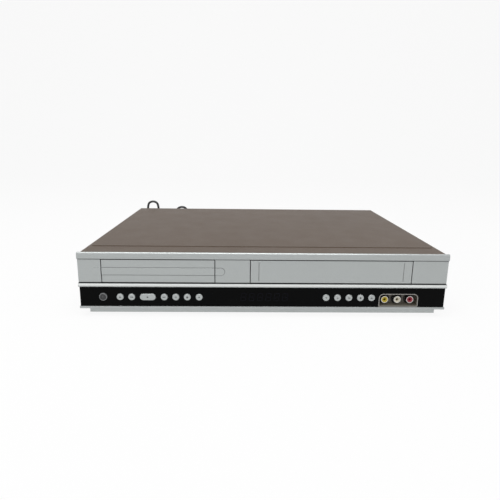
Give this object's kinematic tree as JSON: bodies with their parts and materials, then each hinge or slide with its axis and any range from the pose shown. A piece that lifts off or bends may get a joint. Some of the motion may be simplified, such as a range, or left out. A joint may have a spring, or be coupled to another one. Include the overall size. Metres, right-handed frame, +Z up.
{
  "type": "dvd vcr combo player",
  "caption": "Full-width player with a sliding disc tray on the left, a hinged cassette flap on the right, push buttons on a glossy strip and a tied mains lead behind.",
  "frame": {"origin": "on the table, under the middle of the player without its mains lead", "axes": "+X to the right along the front, +Y to the back, +Z up"},
  "size_m": [0.43, 0.3123, 0.0882],
  "materials": {
    "cover_paint": "fine matt texture",
    "zinc_steel": "bright zinc",
    "bezel_plastic": "satin silver paint",
    "door_plastic": "satin silver paint",
    "strip_plastic": "high gloss",
    "button_plastic": "satin silver paint",
    "standby_plastic": "gloss",
    "pocket_plastic": "matt",
    "feet_rubber": "matt",
    "screw_steel": "dark zinc",
    "plating": "bright",
    "ring_plastic": "gloss",
    "black_plastic": "satin",
    "tray_plastic": "satin",
    "frame_plastic": "satin",
    "gear_plastic": "satin",
    "motor_steel": "satin",
    "drum_aluminium": "turned bright",
    "board_green": "satin",
    "display_black": "gloss",
    "cord_rubber": "satin",
    "roller_rubber": "matt",
    "tie_plastic": "matt"
  },
  "bodies": {
    "case": {"top_cover": "cover_paint", "base_pan": "zinc_steel", "support_posts": "zinc_steel", "rear_panel": "zinc_steel", "front_bezel": "bezel_plastic", "control_strip": "strip_plastic", "rubber_feet": "feet_rubber", "case_screws": "screw_steel", "av_pocket": "pocket_plastic", "jack_shells": "plating", "jack_rings": "ring_plastic", "black_sockets": "black_plastic", "rf_connectors": "plating", "loader_frame": "frame_plastic", "loader_motor": "motor_steel", "clamp_bridge": "zinc_steel", "deck_plate": "zinc_steel", "lower_drum": "drum_aluminium", "main_board": "board_green", "power_board": "board_green", "front_board": "board_green", "display_module": "display_black", "cord_gland": "cord_rubber", "cord_lead": "cord_rubber", "cord_hank": "cord_rubber", "cord_tail": "cord_rubber", "hank_tie": "tie_plastic", "mains_plug": "cord_rubber"},
    "tray_button": {"tray_button": "button_plastic"},
    "skip_back_button": {"skip_back_button": "button_plastic"},
    "skip_forward_button": {"skip_forward_button": "button_plastic"},
    "pause_button": {"pause_button": "button_plastic"},
    "stop_button": {"stop_button": "button_plastic"},
    "source_button": {"source_button": "button_plastic"},
    "channel_down_button": {"channel_down_button": "button_plastic"},
    "channel_up_button": {"channel_up_button": "button_plastic"},
    "rewind_button": {"rewind_button": "button_plastic"},
    "record_button": {"record_button": "button_plastic"},
    "eject_button": {"eject_button": "button_plastic"},
    "standby_button": {"standby_button": "standby_plastic"},
    "play_button": {"play_button": "button_plastic"},
    "disc_tray": {"disc_tray": "tray_plastic", "tray_front": "door_plastic"},
    "tape_door": {"tape_door": "door_plastic"},
    "tray_gear": {"tray_gear": "gear_plastic"},
    "motor_pinion": {"motor_pinion": "gear_plastic"},
    "turntable": {"turntable": "black_plastic"},
    "optical_pickup": {"optical_pickup": "black_plastic"},
    "disc_clamp": {"disc_clamp": "black_plastic"},
    "holder_slides": {"holder_slides": "zinc_steel"},
    "cassette_holder": {"cassette_holder": "zinc_steel"},
    "upper_drum": {"upper_drum": "drum_aluminium"},
    "supply_reel": {"supply_reel": "gear_plastic"},
    "takeup_reel": {"takeup_reel": "gear_plastic"},
    "capstan_rotor": {"capstan_rotor": "motor_steel"},
    "pinch_arm": {"pinch_arm": "zinc_steel"},
    "pinch_roller": {"pinch_roller": "roller_rubber"},
    "guide_base_supply": {"guide_base_supply": "motor_steel"},
    "guide_base_takeup": {"guide_base_takeup": "motor_steel"},
    "traverse": {"traverse_frame": "frame_plastic"}
  },
  "joints": [
    {"name": "tray_press", "type": "slide", "parent": "case", "child": "tray_button", "axis": [0, 1, 0], "range_m": [0, 0.0008], "stiffness_N_per_m": 700, "springref_m": -0.0006},
    {"name": "skip_back_press", "type": "slide", "parent": "case", "child": "skip_back_button", "axis": [0, 1, 0], "range_m": [0, 0.0008], "stiffness_N_per_m": 700, "springref_m": -0.0006},
    {"name": "skip_forward_press", "type": "slide", "parent": "case", "child": "skip_forward_button", "axis": [0, 1, 0], "range_m": [0, 0.0008], "stiffness_N_per_m": 700, "springref_m": -0.0006},
    {"name": "pause_press", "type": "slide", "parent": "case", "child": "pause_button", "axis": [0, 1, 0], "range_m": [0, 0.0008], "stiffness_N_per_m": 700, "springref_m": -0.0006},
    {"name": "stop_press", "type": "slide", "parent": "case", "child": "stop_button", "axis": [0, 1, 0], "range_m": [0, 0.0008], "stiffness_N_per_m": 700, "springref_m": -0.0006},
    {"name": "source_press", "type": "slide", "parent": "case", "child": "source_button", "axis": [0, 1, 0], "range_m": [0, 0.0008], "stiffness_N_per_m": 700, "springref_m": -0.0006},
    {"name": "channel_down_press", "type": "slide", "parent": "case", "child": "channel_down_button", "axis": [0, 1, 0], "range_m": [0, 0.0008], "stiffness_N_per_m": 700, "springref_m": -0.0006},
    {"name": "channel_up_press", "type": "slide", "parent": "case", "child": "channel_up_button", "axis": [0, 1, 0], "range_m": [0, 0.0008], "stiffness_N_per_m": 700, "springref_m": -0.0006},
    {"name": "rewind_press", "type": "slide", "parent": "case", "child": "rewind_button", "axis": [0, 1, 0], "range_m": [0, 0.0008], "stiffness_N_per_m": 700, "springref_m": -0.0006},
    {"name": "record_press", "type": "slide", "parent": "case", "child": "record_button", "axis": [0, 1, 0], "range_m": [0, 0.0008], "stiffness_N_per_m": 700, "springref_m": -0.0006},
    {"name": "eject_press", "type": "slide", "parent": "case", "child": "eject_button", "axis": [0, 1, 0], "range_m": [0, 0.0008], "stiffness_N_per_m": 700, "springref_m": -0.0006},
    {"name": "standby_press", "type": "slide", "parent": "case", "child": "standby_button", "axis": [0, 1, 0], "range_m": [0, 0.0008], "stiffness_N_per_m": 700, "springref_m": -0.0006},
    {"name": "play_press", "type": "slide", "parent": "case", "child": "play_button", "axis": [0, 1, 0], "range_m": [0, 0.0008], "stiffness_N_per_m": 700, "springref_m": -0.0006},
    {"name": "tape_door_swing", "type": "hinge", "parent": "case", "child": "tape_door", "pos_m": [0.07815, -0.1339, 0.06885], "axis": [1, 0, 0], "range_deg": [0, 85], "stiffness_Nm_per_rad": 0.004, "springref_deg": -28.65},
    {"name": "tray_slide", "type": "slide", "parent": "case", "child": "disc_tray", "axis": [0, -1, 0], "range_m": [0, 0.135]},
    {"name": "tray_gear_spin", "type": "hinge", "parent": "case", "child": "tray_gear", "pos_m": [-0.1673, -0.108, 0.0465], "axis": [0, 0, 1], "range_deg": [0, 646]},
    {"name": "motor_spin", "type": "hinge", "parent": "case", "child": "motor_pinion", "pos_m": [-0.1493, -0.108, 0.0465], "axis": [0, 0, 1], "range_deg": [-1291, 0]},
    {"name": "traverse_lift", "type": "hinge", "parent": "case", "child": "traverse", "pos_m": [-0.1228, 0.038, 0.0395], "axis": [-1, 0, 0], "range_deg": [0, 3.7]},
    {"name": "turntable_spin", "type": "hinge", "parent": "traverse", "child": "turntable", "pos_m": [-0.1228, -0.068, 0.047], "axis": [0, 0, 1], "continuous": true},
    {"name": "pickup_slide", "type": "slide", "parent": "traverse", "child": "optical_pickup", "axis": [0, 1, 0], "range_m": [0, 0.034]},
    {"name": "clamp_spin", "type": "hinge", "parent": "case", "child": "disc_clamp", "pos_m": [-0.1228, -0.068, 0.066], "axis": [0, 0, 1], "continuous": true},
    {"name": "holder_slide", "type": "slide", "parent": "case", "child": "holder_slides", "axis": [0, 1, 0], "range_m": [0, 0.038]},
    {"name": "holder_drop", "type": "slide", "parent": "holder_slides", "child": "cassette_holder", "axis": [0, 0, -1], "range_m": [0, 0.014]},
    {"name": "drum_spin", "type": "hinge", "parent": "case", "child": "upper_drum", "pos_m": [0.07815, 0.074, 0.039], "axis": [0, 0.1045, 0.9945], "continuous": true},
    {"name": "supply_spin", "type": "hinge", "parent": "case", "child": "supply_reel", "pos_m": [0.03215, -0.014, 0.0302], "axis": [0, 0, 1], "continuous": true},
    {"name": "takeup_spin", "type": "hinge", "parent": "case", "child": "takeup_reel", "pos_m": [0.12415, -0.014, 0.0302], "axis": [0, 0, 1], "continuous": true},
    {"name": "capstan_spin", "type": "hinge", "parent": "case", "child": "capstan_rotor", "pos_m": [0.13615, 0.04, 0.024], "axis": [0, 0, 1], "continuous": true},
    {"name": "pinch_swing", "type": "hinge", "parent": "case", "child": "pinch_arm", "pos_m": [0.16215, 0.065, 0.0282], "axis": [0, 0, -1], "range_deg": [0, 25], "stiffness_Nm_per_rad": 0.01, "springref_deg": -17.19},
    {"name": "roller_spin", "type": "hinge", "parent": "pinch_arm", "child": "pinch_roller", "pos_m": [0.1563, 0.03558, 0.0352], "axis": [0, 0, 1], "continuous": true},
    {"name": "guide_supply_slide", "type": "slide", "parent": "case", "child": "guide_base_supply", "axis": [-0.2941, 0.9558, 0], "range_m": [0, 0.0408]},
    {"name": "guide_takeup_slide", "type": "slide", "parent": "case", "child": "guide_base_takeup", "axis": [0.2941, 0.9558, 0], "range_m": [0, 0.0408]}
  ],
  "couplings": [
    {"joint": "tray_gear_spin", "follows": "tray_slide", "rad_per_m": 83.333},
    {"joint": "motor_spin", "follows": "tray_slide", "rad_per_m": -166.67},
    {"joint": "guide_takeup_slide", "follows": "guide_supply_slide", "ratio": 1}
  ]
}
